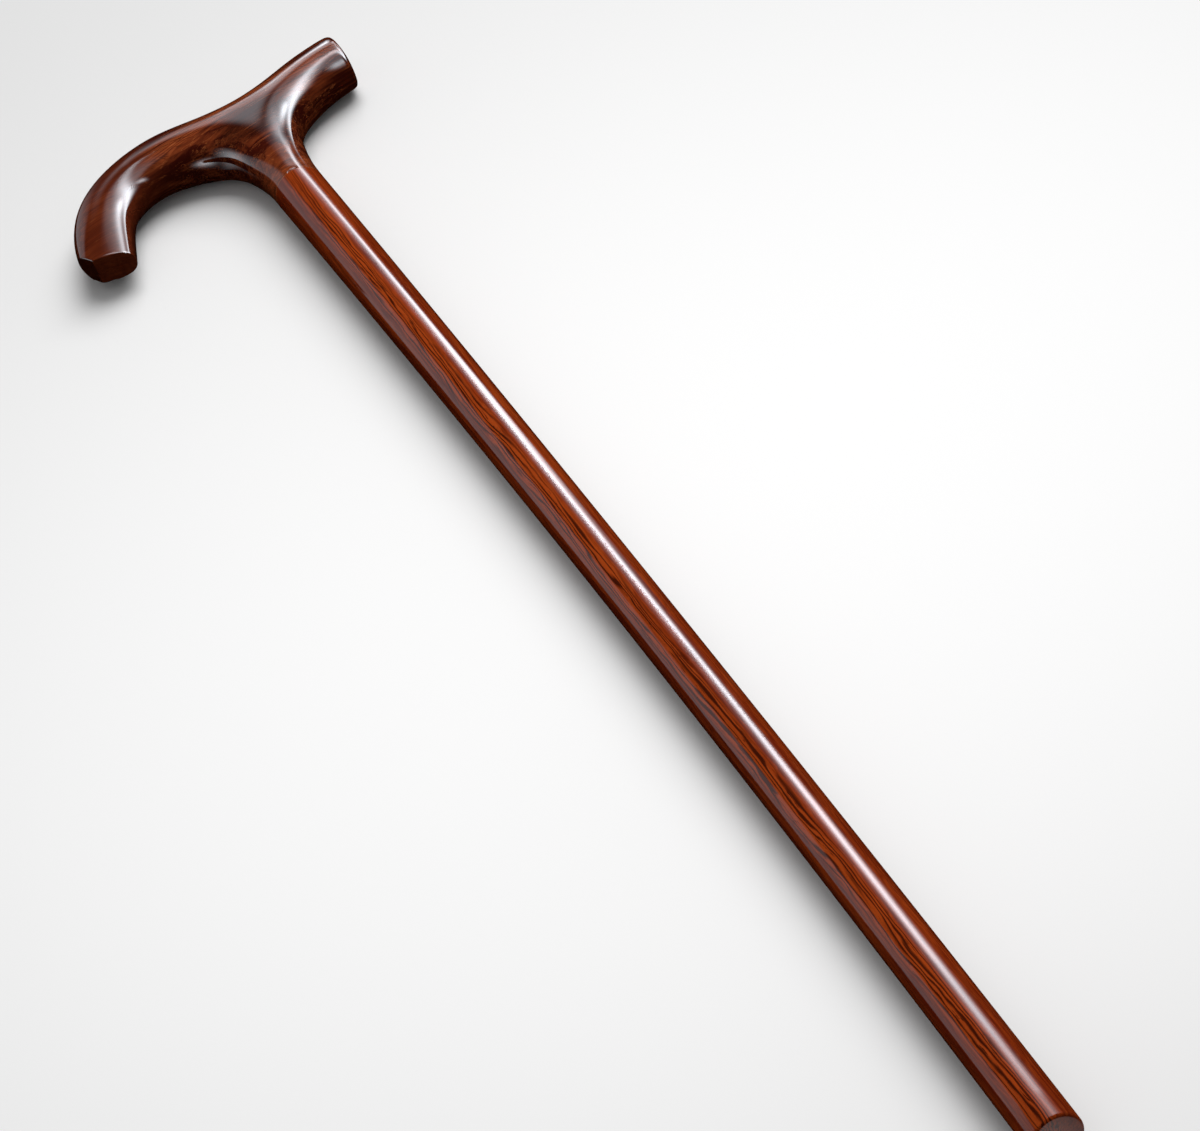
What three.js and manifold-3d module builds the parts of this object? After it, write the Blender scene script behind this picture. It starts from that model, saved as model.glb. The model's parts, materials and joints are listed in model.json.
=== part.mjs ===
// A derby walking cane of dark hardwood, lying on its side.
// Millimetres. +X runs down the shaft to the tip, +Y points to the tail of the handle, +Z is up.
// The handle is carved from one blank and the shaft is turned from another. They butt together
// at the neck, and a threaded steel stud, glued into a blind bore of each, holds them.

import * as THREE from "three";
import * as BufferGeometryUtils from "three/addons/utils/BufferGeometryUtils.js";
import Module from "manifold-3d";

const wasm = await Module();
wasm.setup();

// Shaft
const shaftLength = 720;
const jointDiameter = 22.6;
const waistDiameter = 19.6;
const tipDiameter = 20;
const waistDistance = 460;
const shaftBow = 2.5;
const tipEdgeRadius = 1.2;

// Handle, in its own plane. Heights are measured up from the joint, reaches out from the
// shaft's axis. The arms' heights and reaches are those of their centre lines.
const saddleHeight = 61.4;
const tailShoulderHeight = 67;
const tailShoulderReach = 18;
const tailHeight = 78;
const tailReach = 51.6;
const tailStraight = 13;
const noseShoulderHeight = 64.2;
const noseShoulderReach = 20;
const humpHeight = 72.4;
const humpReach = 44;
const bendHeight = 57.4;
const bendReach = 73.4;
const noseHeight = 15.3;
const noseReach = 88;

// Depths are the arms' sizes in the handle's plane, thicknesses those across it
const barDepth = 31.9;
const tailDepth = 31;
const noseDepth = 26;
const handleThickness = 25;
const shoulderThickness = 24.6;
const tailThickness = 23;
const noseThickness = 18;
const tailEdge = 3;
const tailCrown = 1.2;
const tailHollow = 1.8;

// The neck widens from the joint's circle into the arms, more on the nose's side
const flareHeight = 30;
const flareToTail = 13.2;
const flareToNose = 14.5;
const collarHeight = 12;

// The nose is cut off by two flat facets that meet in a ridge off its middle
const ridgeOffset = 4.5;
const innerFacetAngle = THREE.MathUtils.degToRad(4);
const outerFacetAngle = THREE.MathUtils.degToRad(48);
const undercutAngle = THREE.MathUtils.degToRad(10);

// Both sides of the handle are planed flat by this much
const planedDepth = 0.4;

// Joint
const glueLine = 0.1;
const studDiameter = 8;
const studPitch = 1.25;
const studThreadDepth = 0.75;
const studThreadLength = 22;
const studShankLength = 12;
const boreClearance = 0.3;
const boreEndClearance = 1;

// Fineness of the faceted solids
const handleSubdivisions = 2;
const shaftSides = 48;
const shaftSteps = 16;
const tipEdgeSteps = 3;
const boreSides = 32;
const threadSides = 12;
const threadStepsPerTurn = 4;

// A smooth surface cuts its cage's corners, so a ring of eight cage points has its middle
// points a little outside the section that it makes, and its corner points inside.
const turnedRing = { middle: 1.108, corner: 0.784 };
const carvedRing = { middle: 1.05, corner: 0.89 };

// Where the cage's rings stand, as shares of each arm's centre line
const tailStation = 0.5;
const noseStations = [0.22, 0.42, 0.6, 0.78];

// The tail's end is closed by two rings, as shares of its last section
const tailRimShare = 0.97;
const tailEndShare = 0.72;

const handleWood = new THREE.MeshStandardMaterial({ color: 0x5a2415, roughness: 0.22, metalness: 0 });
const shaftWood = new THREE.MeshStandardMaterial({ color: 0x702c14, roughness: 0.22, metalness: 0 });
const studSteel = new THREE.MeshStandardMaterial({ color: 0x9a9ca0, roughness: 0.35, metalness: 1 });

function toManifold(geometry) {
  const bare = geometry.clone();
  bare.deleteAttribute("normal");
  bare.deleteAttribute("uv");
  const merged = BufferGeometryUtils.mergeVertices(bare, 1e-5);
  return new wasm.Manifold(new wasm.Mesh({
    numProp: 3,
    vertProperties: new Float32Array(merged.attributes.position.array),
    triVerts: new Uint32Array(merged.index.array),
  }));
}

function toGeometry(solid) {
  const mesh = solid.getMesh();
  const geometry = new THREE.BufferGeometry();
  geometry.setAttribute("position", new THREE.BufferAttribute(new Float32Array(mesh.vertProperties), 3));
  geometry.setIndex(new THREE.BufferAttribute(new Uint32Array(mesh.triVerts), 1));
  geometry.computeVertexNormals();
  return geometry;
}

// A lathe turns about Y, so it is laid over to turn about X
function turned(profile, sides) {
  const points = profile.map(([along, radius]) => new THREE.Vector2(radius, along));
  const geometry = new THREE.LatheGeometry(points, sides);
  geometry.rotateZ(-Math.PI / 2);
  return geometry;
}

// One step of Catmull-Clark subdivision. Sharp edges stay sharp and hold the rims of flat ends.
const edgeKey = (a, b) => (a < b ? `${a}_${b}` : `${b}_${a}`);

function average(points) {
  const sum = new THREE.Vector3();
  points.forEach((point) => sum.add(point));
  return sum.divideScalar(points.length);
}

function subdivide({ points, quads, sharp }) {
  const facePoints = quads.map((quad) => average(quad.map((index) => points[index])));
  const edges = new Map();
  const touching = points.map(() => ({ faces: [], edges: [] }));
  quads.forEach((quad, face) => {
    quad.forEach((a, corner) => {
      const b = quad[(corner + 1) % 4];
      const key = edgeKey(a, b);
      if (!edges.has(key)) {
        edges.set(key, { ends: [a, b], faces: [], sharp: sharp.has(key) });
        touching[a].edges.push(key);
        touching[b].edges.push(key);
      }
      edges.get(key).faces.push(face);
      touching[a].faces.push(face);
    });
  });

  const midpoint = (edge) => average(edge.ends.map((end) => points[end]));
  const finer = points.map((point, index) => {
    const own = touching[index].edges.map((key) => edges.get(key));
    const creases = own.filter((edge) => edge.sharp);
    if (creases.length > 2) return point.clone();
    if (creases.length === 2) {
      return average(creases.map(midpoint)).add(point).divideScalar(2);
    }
    const count = own.length;
    return average(touching[index].faces.map((face) => facePoints[face]))
      .addScaledVector(average(own.map(midpoint)), 2)
      .addScaledVector(point, count - 3)
      .divideScalar(count);
  });

  const edgeIndex = new Map();
  edges.forEach((edge, key) => {
    edgeIndex.set(key, finer.length);
    const ends = edge.ends.map((end) => points[end]);
    const faces = edge.faces.map((face) => facePoints[face]);
    finer.push(edge.sharp ? average(ends) : average([...ends, ...faces]));
  });

  const finerQuads = [];
  const finerSharp = new Set();
  quads.forEach((quad, face) => {
    const centre = finer.length;
    finer.push(facePoints[face]);
    quad.forEach((corner, place) => {
      const ahead = edgeIndex.get(edgeKey(corner, quad[(place + 1) % 4]));
      const behind = edgeIndex.get(edgeKey(quad[(place + 3) % 4], corner));
      finerQuads.push([corner, ahead, centre, behind]);
    });
  });
  edges.forEach((edge, key) => {
    if (!edge.sharp) return;
    edge.ends.forEach((end) => finerSharp.add(edgeKey(end, edgeIndex.get(key))));
  });
  return { points: finer, quads: finerQuads, sharp: finerSharp };
}

function quadsToGeometry({ points, quads }) {
  const geometry = new THREE.BufferGeometry();
  geometry.setFromPoints(points);
  geometry.setIndex(quads.flatMap(([a, b, c, d]) => [a, b, c, a, c, d]));
  return geometry;
}

// A ring of eight cage points round a section. across points to the section's first side in the
// handle's plane, and the ring turns from there to +Z, so it runs round the way that it faces.
function sectionRing({ centre, across, toFirst, toSecond, thickness, shape }) {
  const lean = (toFirst - toSecond) / 2;
  const halfDepth = (toFirst + toSecond) / 2;
  const halfThickness = thickness / 2;
  const turns = [
    [shape.middle, 0], [shape.corner, shape.corner],
    [0, shape.middle], [-shape.corner, shape.corner],
    [-shape.middle, 0], [-shape.corner, -shape.corner],
    [0, -shape.middle], [shape.corner, -shape.corner],
  ];
  return turns.map(([sideways, up]) => centre.clone()
    .addScaledVector(across, lean + sideways * halfDepth)
    .add(new THREE.Vector3(0, 0, up * halfThickness)));
}

// The cage of the handle: a block of 2 x 2 x 2 cells where the neck and the two arms meet,
// and a tube of rings out of each of its three open sides.
class Cage {
  points = [];
  quads = [];
  sharp = new Set();

  add(point) {
    this.points.push(point.clone());
    return this.points.length - 1;
  }

  tube(start, rings) {
    return rings.reduce((last, ring) => {
      const next = ring.map((point) => this.add(point));
      last.forEach((corner, place) => {
        const beside = (place + 1) % last.length;
        this.quads.push([corner, last[beside], next[beside], next[place]]);
      });
      return next;
    }, start);
  }

  cap(ring, centrePoint) {
    const centre = this.add(centrePoint);
    for (let corner = 1; corner < ring.length; corner += 2) {
      this.quads.push([ring[corner - 1], ring[corner], ring[(corner + 1) % ring.length], centre]);
    }
    return centre;
  }

  crease(indices) {
    indices.slice(1).forEach((index, place) => this.sharp.add(edgeKey(indices[place], index)));
  }
}

// Block points by column (nose, middle, tail), row (top, middle, bottom) and layer (-Z, 0, +Z)
function addBlock(cage) {
  const columns = [
    { height: noseShoulderHeight, reach: -noseShoulderReach, thickness: shoulderThickness },
    { height: saddleHeight, reach: 0, thickness: handleThickness + planedDepth * 2 },
    { height: tailShoulderHeight, reach: tailShoulderReach, thickness: shoulderThickness },
  ];
  const at = {};
  columns.forEach(({ height, reach, thickness }, column) => {
    [1, 0, -1].forEach((up, row) => {
      [-1, 0, 1].forEach((layer, depth) => {
        const onSurface = layer !== 0 || up === 1 || (up === -1 && column !== 1);
        if (!onSurface) return;
        const isCorner = up !== 0 && layer !== 0;
        const spread = isCorner ? carvedRing.corner : carvedRing.middle;
        const lift = isCorner && !(up === -1 && column === 1) ? carvedRing.corner : carvedRing.middle;
        at[[column, row, depth]] = cage.add(new THREE.Vector3(
          -(height + up * spread * barDepth / 2),
          reach,
          layer * lift * thickness / 2,
        ));
      });
    });
  });

  const square = (corners) => cage.quads.push(corners.map((corner) => at[corner]));
  for (let a = 0; a < 2; a += 1) {
    for (let b = 0; b < 2; b += 1) {
      square([[a, 0, b], [a, 0, b + 1], [a + 1, 0, b + 1], [a + 1, 0, b]]);
      square([[a, b, 2], [a, b + 1, 2], [a + 1, b + 1, 2], [a + 1, b, 2]]);
      square([[a, b, 0], [a + 1, b, 0], [a + 1, b + 1, 0], [a, b + 1, 0]]);
    }
  }

  // An open side's ring runs up one row of three points, over, down the other and back
  const openRing = (first, between, second) => [
    [...first, 1], [...first, 2], [...between, 2], [...second, 2],
    [...second, 1], [...second, 0], [...between, 0], [...first, 0],
  ].map((corner) => at[corner]);
  return {
    neck: openRing([2, 2], [1, 2], [0, 2]),
    tail: openRing([2, 0], [2, 1], [2, 2]),
    nose: openRing([0, 2], [0, 1], [0, 0]),
  };
}

function addNeck(cage, start) {
  const tailwards = new THREE.Vector3(0, 1, 0);
  const neckRing = (height, toTail, toNose, thickness, shape) => sectionRing({
    centre: new THREE.Vector3(-height, 0, 0),
    across: tailwards,
    toFirst: toTail,
    toSecond: toNose,
    thickness,
    shape,
  });
  const radius = jointDiameter / 2;
  const end = cage.tube(start, [
    neckRing(flareHeight, flareToTail, flareToNose, (handleThickness + jointDiameter) / 2, turnedRing),
    neckRing(collarHeight, radius, radius, jointDiameter, turnedRing),
    neckRing(0, radius, radius, jointDiameter, turnedRing),
  ]);
  cage.cap(end, new THREE.Vector3());
  cage.crease([...end, end[0]]);
}

// Rings along an arm's centre line, tapering evenly from its root to its end. An arm's first side
// is its outer one on the tail, and its inner one on the nose.
function armRings(line, stations, root, tip, hollow = 0) {
  return stations.map((station) => {
    const along = line.getTangentAt(station);
    const depth = THREE.MathUtils.lerp(root.depth, tip.depth, station);
    return sectionRing({
      centre: line.getPointAt(station),
      across: new THREE.Vector3(-along.y, along.x, 0),
      toFirst: depth / 2,
      toSecond: depth / 2 - hollow * 4 * station * (1 - station),
      thickness: THREE.MathUtils.lerp(root.thickness, tip.thickness, station),
      shape: carvedRing,
    });
  });
}

const inPlane = (height, reach) => new THREE.Vector3(-height, reach, 0);
const armRoot = { depth: barDepth, thickness: shoulderThickness };

function addTail(cage, start) {
  const line = new THREE.QuadraticBezierCurve3(
    inPlane(tailShoulderHeight, tailShoulderReach),
    inPlane(tailHeight, tailReach - tailStraight),
    inPlane(tailHeight, tailReach),
  );
  const tip = { depth: tailDepth, thickness: tailThickness };
  const edge = tailEdge / line.getLength();
  const [middle, last, rim] = armRings(line, [tailStation, 1 - edge, 1], armRoot, tip, tailHollow);
  const centre = line.getPointAt(1);
  const crown = line.getTangentAt(1).multiplyScalar(tailCrown);
  const shrink = (share) => rim.map((corner) => centre.clone().lerp(corner, share));
  const face = shrink(tailEndShare).map((corner) => corner.add(crown));
  const end = cage.tube(start, [middle, last, shrink(tailRimShare), face]);
  cage.cap(end, centre.clone().add(crown));
}

function addNose(cage, start) {
  const line = new THREE.CatmullRomCurve3([
    inPlane(noseShoulderHeight, -noseShoulderReach),
    inPlane(humpHeight, -humpReach),
    inPlane(bendHeight, -bendReach),
    inPlane(noseHeight, -noseReach),
  ]);
  const tip = { depth: noseDepth, thickness: noseThickness };
  const rings = armRings(line, [...noseStations, 1], armRoot, tip);
  const centre = line.getPointAt(1);
  const along = line.getTangentAt(1);
  const across = new THREE.Vector3(-along.y, along.x, 0);
  const ridge = centre.clone().addScaledVector(across, -ridgeOffset);
  const cut = (corner) => {
    const fromRidge = corner.clone().sub(ridge).dot(across);
    const angle = fromRidge > 0 ? innerFacetAngle : outerFacetAngle;
    const back = Math.abs(fromRidge) * Math.tan(angle) - corner.z * Math.tan(undercutAngle);
    return corner.clone().addScaledVector(along, -back);
  };

  // The points on the two sides of the end move to where the ridge meets its rim
  const last = rings.pop();
  const ridgeEnds = [2, 6];
  ridgeEnds.forEach((place) => {
    last[place].addScaledVector(across, -ridgeOffset);
    last[place].z *= turnedRing.corner;
  });
  const end = cage.tube(start, [...rings, last.map(cut)]);
  const middle = cage.cap(end, ridge);
  cage.crease([...end, end[0]]);
  cage.crease([end[ridgeEnds[0]], middle, end[ridgeEnds[1]]]);
}

function makeHandle() {
  const cage = new Cage();
  const open = addBlock(cage);
  addNeck(cage, open.neck);
  addTail(cage, open.tail);
  addNose(cage, open.nose);
  let surface = { points: cage.points, quads: cage.quads, sharp: cage.sharp };
  for (let level = 0; level < handleSubdivisions; level += 1) surface = subdivide(surface);

  const carved = quadsToGeometry(surface);
  carved.computeBoundingBox();
  const size = carved.boundingBox.getSize(new THREE.Vector3());
  const centre = carved.boundingBox.getCenter(new THREE.Vector3());
  const slab = new THREE.BoxGeometry(size.x * 2, size.y * 2, handleThickness);
  slab.translate(centre.x, centre.y, 0);
  const solid = toManifold(carved).intersect(toManifold(slab)).subtract(toManifold(makeBore()));
  return toGeometry(solid);
}

// The cutter for both blind bores, which reach as far up into the handle as down into the shaft
function makeBore() {
  const radius = studDiameter / 2 + boreClearance;
  const depth = studThreadLength + studShankLength / 2 + boreEndClearance;
  const bore = new THREE.CylinderGeometry(radius, radius, depth * 2, boreSides);
  bore.rotateZ(Math.PI / 2);
  return bore;
}

// The shaft tapers to its waist, then swells a little to the tip
function shaftRadiusAt(along) {
  const share = THREE.MathUtils.clamp(along / waistDistance, 0, 1);
  const upper = THREE.MathUtils.lerp(jointDiameter, waistDiameter, Math.sin(share * Math.PI / 2));
  const past = THREE.MathUtils.clamp((along - waistDistance) / (shaftLength - waistDistance), 0, 1);
  return (upper + (tipDiameter - waistDiameter) * past * past) / 2;
}

// A hand-made shaft is a little bowed towards the tail, most at half its length
function bow(geometry) {
  const position = geometry.attributes.position;
  for (let index = 0; index < position.count; index += 1) {
    const share = position.getX(index) / shaftLength;
    position.setY(index, position.getY(index) + shaftBow * 4 * share * (1 - share));
  }
}

function makeShaft() {
  const tipRadius = tipDiameter / 2;
  const edge = [];
  for (let step = 0; step <= tipEdgeSteps; step += 1) {
    const turn = step / tipEdgeSteps * Math.PI / 2;
    edge.push([
      shaftLength - tipEdgeRadius * (1 - Math.sin(turn)),
      tipRadius - tipEdgeRadius * (1 - Math.cos(turn)),
    ]);
  }
  const side = [];
  for (let step = 0; step < shaftSteps; step += 1) {
    const along = THREE.MathUtils.lerp(glueLine, shaftLength - tipEdgeRadius, step / shaftSteps);
    side.push([along, shaftRadiusAt(along)]);
  }
  const blank = turned([[glueLine, 0], ...side, ...edge, [shaftLength, 0]], shaftSides);
  bow(blank);
  return toGeometry(toManifold(blank).subtract(toManifold(makeBore())));
}

// A double-ended stud: a thread at each end and a plain shank between them
function makeStud() {
  const half = studShankLength / 2 + studThreadLength;
  const majorRadius = studDiameter / 2;
  const steps = Math.round(half * 2 / studPitch * threadStepsPerTurn);
  const points = [];
  const index = [];
  for (let step = 0; step <= steps; step += 1) {
    const along = THREE.MathUtils.lerp(-half, half, step / steps);
    const onShank = Math.abs(along) < studShankLength / 2;
    const endTaper = Math.min(1, (half - Math.abs(along)) / studPitch);
    for (let side = 0; side < threadSides; side += 1) {
      const turn = side / threadSides;
      const phase = THREE.MathUtils.euclideanModulo(along / studPitch - turn, 1);
      const groove = onShank ? 0 : 1 - Math.abs(2 * phase - 1);
      const radius = majorRadius - studThreadDepth * Math.max(groove, 1 - endTaper);
      const angle = turn * Math.PI * 2;
      points.push(new THREE.Vector3(along, radius * Math.cos(angle), radius * Math.sin(angle)));
    }
  }
  const row = (step, side) => step * threadSides + side % threadSides;
  for (let step = 0; step < steps; step += 1) {
    for (let side = 0; side < threadSides; side += 1) {
      const [a, b] = [row(step, side), row(step, side + 1)];
      const [c, d] = [row(step + 1, side + 1), row(step + 1, side)];
      index.push(a, b, c, a, c, d);
    }
  }
  const [first, last] = [points.length, points.length + 1];
  points.push(new THREE.Vector3(-half, 0, 0), new THREE.Vector3(half, 0, 0));
  for (let side = 0; side < threadSides; side += 1) {
    index.push(first, row(0, side + 1), row(0, side));
    index.push(last, row(steps, side), row(steps, side + 1));
  }
  const geometry = new THREE.BufferGeometry();
  geometry.setFromPoints(points);
  geometry.setIndex(index);
  geometry.computeVertexNormals();
  return geometry;
}

function named(name, geometry, material) {
  const mesh = new THREE.Mesh(geometry, material);
  mesh.name = name;
  return mesh;
}

const cane = new THREE.Group();
cane.add(named("handle", makeHandle(), handleWood));
cane.add(named("shaft", makeShaft(), shaftWood));
cane.add(named("joint_stud", makeStud(), studSteel));

// The origin is under the middle of the cane as it lies
const box = new THREE.Box3().setFromObject(cane);
const middle = box.getCenter(new THREE.Vector3());
cane.position.set(-middle.x, -middle.y, -box.min.z);

export default cane;
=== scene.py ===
"""A derby walking cane of lacquered hardwood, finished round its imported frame.

Metres. +X runs down the shaft to the tip, +Y points to the tail of the handle, +Z is up.
"""

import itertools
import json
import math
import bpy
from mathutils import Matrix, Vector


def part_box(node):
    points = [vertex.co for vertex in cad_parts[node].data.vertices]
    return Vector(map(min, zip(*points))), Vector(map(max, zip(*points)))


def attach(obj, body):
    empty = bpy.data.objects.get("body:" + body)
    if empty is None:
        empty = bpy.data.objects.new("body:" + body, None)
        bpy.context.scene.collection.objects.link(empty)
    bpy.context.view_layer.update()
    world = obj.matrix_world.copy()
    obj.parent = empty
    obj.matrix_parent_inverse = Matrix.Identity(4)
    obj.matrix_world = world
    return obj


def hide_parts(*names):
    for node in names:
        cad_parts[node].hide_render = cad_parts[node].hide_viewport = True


bl_info = {
    "name": "Derby Walking Cane",
    "version": (1, 0, 0),
    "blender": (4, 5, 0),
    "location": "View3D > Sidebar > Cane",
    "description": "Carves the handle, turns the shaft and sets the stage of a wooden walking cane",
    "category": "Object",
}

from functools import reduce

import bmesh
import bpy
from bpy.props import FloatProperty, FloatVectorProperty, IntProperty, PointerProperty
from mathutils import Matrix, Vector

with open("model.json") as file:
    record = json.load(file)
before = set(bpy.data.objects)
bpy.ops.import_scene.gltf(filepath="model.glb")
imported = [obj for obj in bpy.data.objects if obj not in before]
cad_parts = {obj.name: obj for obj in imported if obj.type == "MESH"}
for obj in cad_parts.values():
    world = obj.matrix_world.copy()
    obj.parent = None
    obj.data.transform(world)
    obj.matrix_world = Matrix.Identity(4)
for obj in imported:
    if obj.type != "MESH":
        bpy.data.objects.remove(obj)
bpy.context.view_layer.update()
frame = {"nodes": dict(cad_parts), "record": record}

# The joint's plane and the shaft's axis come from the frame
GLUE_LINE = 0.0001
TIP = Vector(next(m["pos_m"] for m in frame["record"]["mounts"] if m["name"] == "tip_end"))
JOINT = Vector((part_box("shaft")[0].x - GLUE_LINE, TIP.y, TIP.z))
SHAFT_LENGTH = TIP.x - JOINT.x

# A smooth surface cuts its cage's corners, so a ring of eight cage points has its middle
# points a little outside the section that it makes, and its corner points inside.
TURNED_RING = (1.108, 0.784)
CARVED_RING = (1.05, 0.89)
ARM_RING = (1.08, 0.835)

# Where the cage's rings stand, as shares of each arm's centre line
TAIL_STATION = 0.5
NOSE_STATIONS = (0.22, 0.42, 0.6, 0.78)

# The tail's end is closed by two rings, as shares of its last section
TAIL_RIM_SHARE = 0.97
TAIL_END_SHARE = 0.72

# The points of a ring that lie straight above and below its centre
TOP_POINT = 2
BOTTOM_POINT = 6

# How deep the planed flats' border is, and how often it and the nose's corner are smoothed
FLAT_BORDER = 0.0015
BORDER_PASSES = 24
CORNER_PASSES = 10

SHARP_ANGLE = math.radians(28)
SHADING_ANGLE = math.radians(35)
SAME_PLACE = 2e-6
UP = Vector((0, 0, 1))

# The sizes of the wood's grains, in millimetres along the fibres and across them both ways
BROAD_GRAIN = (90, 14, 14)
SMALL_GRAIN = (15, 2.4, 2.4)
SWIRL_GRAIN = (60, 3, 3)
FLECK_GRAIN = (24, 0.36, 0.36)
VEIN_GAP_GRAIN = (30, 2.2, 2.2)
THREAD_GRAIN = (70, 1.6, 1.6)
THREAD_GAP_GRAIN = (30, 3, 3)
STROKE_GRAIN = (9, 0.55, 2.5)
FIBRE_GRAIN = (26, 0.34, 0.34)
TONE_GRAIN = (120, 5, 5)
PORE_CELL = (11, 6, 6)

# The broad waves' size, the dark veins' number and swirl, and the strokes' slope
BROAD_WAVES = 3.0
VEINS_PER_MM = 0.75
VEIN_SWIRL = 3.0
STROKE_SLOPE = 0.55

# How far from the joint the wood is flat-grained, in metres, and how far from the dark patch's
# middle the end grain shows, in millimetres
NECK_ZONE = (0.006, 0.02)
END_GRAIN_STARTS = (22, 34)

# The stud's spangles and their two tints
SPANGLE_GRAIN = (1.2, 0.6, 0.6)
COOL_ZINC = (0.5, 0.51, 0.54, 1)
WARM_ZINC = (0.68, 0.67, 0.62, 1)

# The floor's colour is palest round one place and darker further out, a painted pool of light
FLOOR_SIZE = 40
FLOOR_LIGHT_POOL_MIDDLE = (0.12, 0, 0)
FLOOR_LIGHT_POOL_FADE = (0.05, 0.8)
FLOOR_SHADE_SHARE = 0.67

KEY_PLACE = (-1.05, 1.05, 1.95)
KEY_SIZE = 2.2

# A ray's glossy depth is 1 at its first bounce and 2 at its second
PAST_FIRST_BOUNCE = 1.5

# Each panel's centre, its directions along and across, its width and its height
SHAFT_SOFTBOX = ((-2.262, 1.322, 1.267), (-0.952, 0.307, 0), (0, 0.731, -0.682), 5.0, 4.4)
NECK_SOFTBOX = ((-2.26, 1.315, 1.26), *SHAFT_SOFTBOX[1:])
CROTCH_SOFTBOX = ((-0.81, 1.67, 1.07), (-0.966, -0.259, 0), (0.137, -0.512, 0.848), 4, 4)
TAIL_STRIP = ((-3.1, 0.5, 1.2), (0.18, 0.98, 0), UP, 1.4, 1.8)
RIM_STRIP = ((-0.24, 0.188, 0.259), (0.847, 0.074, -0.527), (-0.27, 0.91, -0.31), 0.4, 0.16)
SIDE_PANEL = ((-0.81, -1.2, 0.22), (1, 0, 0), UP, 2, 2)
LOW_PANEL = ((0.3, -0.95, -0.14), (1, 0, 0), UP, 1.4, 0.9)
TIP_FLOOR = ((0.425, 0.022, 0.0005), (1, 0, 0), (0, 1, 0), 0.08, 0.06)

# How far the round glows spread along and across their panels
RIM_SPREAD = (0.062, 0.018)
SIDE_SPREAD = (0.3, 0.45)
LOW_SPREAD = (0.24, 0.15)
TIP_SPREAD = (0.02, 0.014)


def length(name, description, default):
    return FloatProperty(name=name, description=description, default=default, min=0, unit="LENGTH")


def angle(name, description, degrees):
    return FloatProperty(name=name, description=description, default=math.radians(degrees), unit="ROTATION")


def amount(name, description, default):
    return FloatProperty(name=name, description=description, default=default, min=0)


def colour(name, description, default):
    return FloatVectorProperty(
        name=name, description=description, default=default, subtype="COLOR", size=3, min=0, max=1
    )


class HandleSizes(bpy.types.PropertyGroup):
    """Heights are measured up from the joint, and reaches out from the shaft's axis"""

    saddle_height: length("Saddle Height", "Centre of the bar over the neck", 0.0614)
    tail_shoulder_height: length("Tail Shoulder Height", "Root of the tail", 0.067)
    tail_shoulder_reach: length("Tail Shoulder Reach", "Root of the tail", 0.018)
    tail_height: length("Tail Height", "End of the tail", 0.078)
    tail_reach: length("Tail Reach", "End of the tail", 0.0516)
    tail_straight: length("Tail Straight", "Straight run up to the tail's end", 0.013)
    nose_shoulder_height: length("Nose Shoulder Height", "Root of the nose", 0.0642)
    nose_shoulder_reach: length("Nose Shoulder Reach", "Root of the nose", 0.02)
    hump_height: length("Hump Height", "Highest stretch of the nose", 0.0724)
    hump_reach: length("Hump Reach", "Highest stretch of the nose", 0.044)
    bend_height: length("Bend Height", "Where the nose turns down", 0.0574)
    bend_reach: length("Bend Reach", "Where the nose turns down", 0.0734)
    nose_height: length("Nose Height", "End of the nose", 0.0153)
    nose_reach: length("Nose Reach", "End of the nose", 0.088)
    bar_depth: length("Bar Depth", "Size of the bar in the handle's plane", 0.0319)
    tail_depth: length("Tail Depth", "Size of the tail's end in that plane", 0.031)
    nose_depth: length("Nose Depth", "Size of the nose's end in that plane", 0.026)
    thickness: length("Thickness", "Between the two planed sides", 0.025)
    shoulder_thickness: length("Shoulder Thickness", "At the roots of the arms", 0.0246)
    tail_thickness: length("Tail Thickness", "At the tail's end", 0.023)
    nose_thickness: length("Nose Thickness", "At the nose's end", 0.018)
    tail_edge: length("Tail Edge", "Width of the rounded rim of the tail's end", 0.003)
    tail_crown: length("Tail Crown", "How far the tail's end swells", 0.0012)
    tail_hollow: length("Tail Hollow", "How far the tail's underside is hollowed", 0.0018)
    flare_height: length("Flare Height", "Where the neck starts to widen", 0.03)
    flare_to_tail: length("Flare to Tail", "Reach of the neck there, tail side", 0.0132)
    flare_to_nose: length("Flare to Nose", "Reach of the neck there, nose side", 0.0145)
    collar_height: length("Collar Height", "Length of the neck's round stretch", 0.012)
    ridge_offset: length("Ridge Offset", "From the nose's centre to the ridge of its end", 0.0045)
    inner_facet_angle: angle("Inner Facet", "Slant of the nose's inner facet", 4)
    outer_facet_angle: angle("Outer Facet", "Slant of the nose's outer facet", 48)
    undercut_angle: angle("Undercut", "Slant of both facets across the thickness", 10)
    planed_depth: length("Planed Depth", "Taken off each side by planing", 0.0004)
    edge_round: length("Edge Rounding", "Bevel on the facets' edges", 0.00045)
    corner_reach: length("Corner Reach", "How far the facets' lower corner is smoothed", 0.0065)
    levels: IntProperty(name="Levels", description="Subdivision levels", default=4, min=2, max=5)


class ShaftSizes(bpy.types.PropertyGroup):
    """Sizes of the turned shaft"""

    joint_diameter: length("Joint Diameter", "At the joint with the handle", 0.0226)
    waist_diameter: length("Waist Diameter", "At the thinnest place", 0.0196)
    tip_diameter: length("Tip Diameter", "Behind the tip's rounded rim", 0.02)
    waist_distance: length("Waist Distance", "From the joint to the thinnest place", 0.46)
    bow: length("Bow", "How far the shaft's middle bows to the tail's side", 0.0025)
    tip_edge_radius: length("Tip Edge Radius", "Rounding of the tip's rim", 0.0012)
    sides: IntProperty(name="Sides", description="Sides of the shaft", default=96, min=12)
    rings: IntProperty(name="Rings", description="Rings along the shaft", default=48, min=4)


def in_plane(height, reach):
    """A point of the handle's middle plane."""
    return JOINT + Vector((-height, reach, 0))


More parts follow.
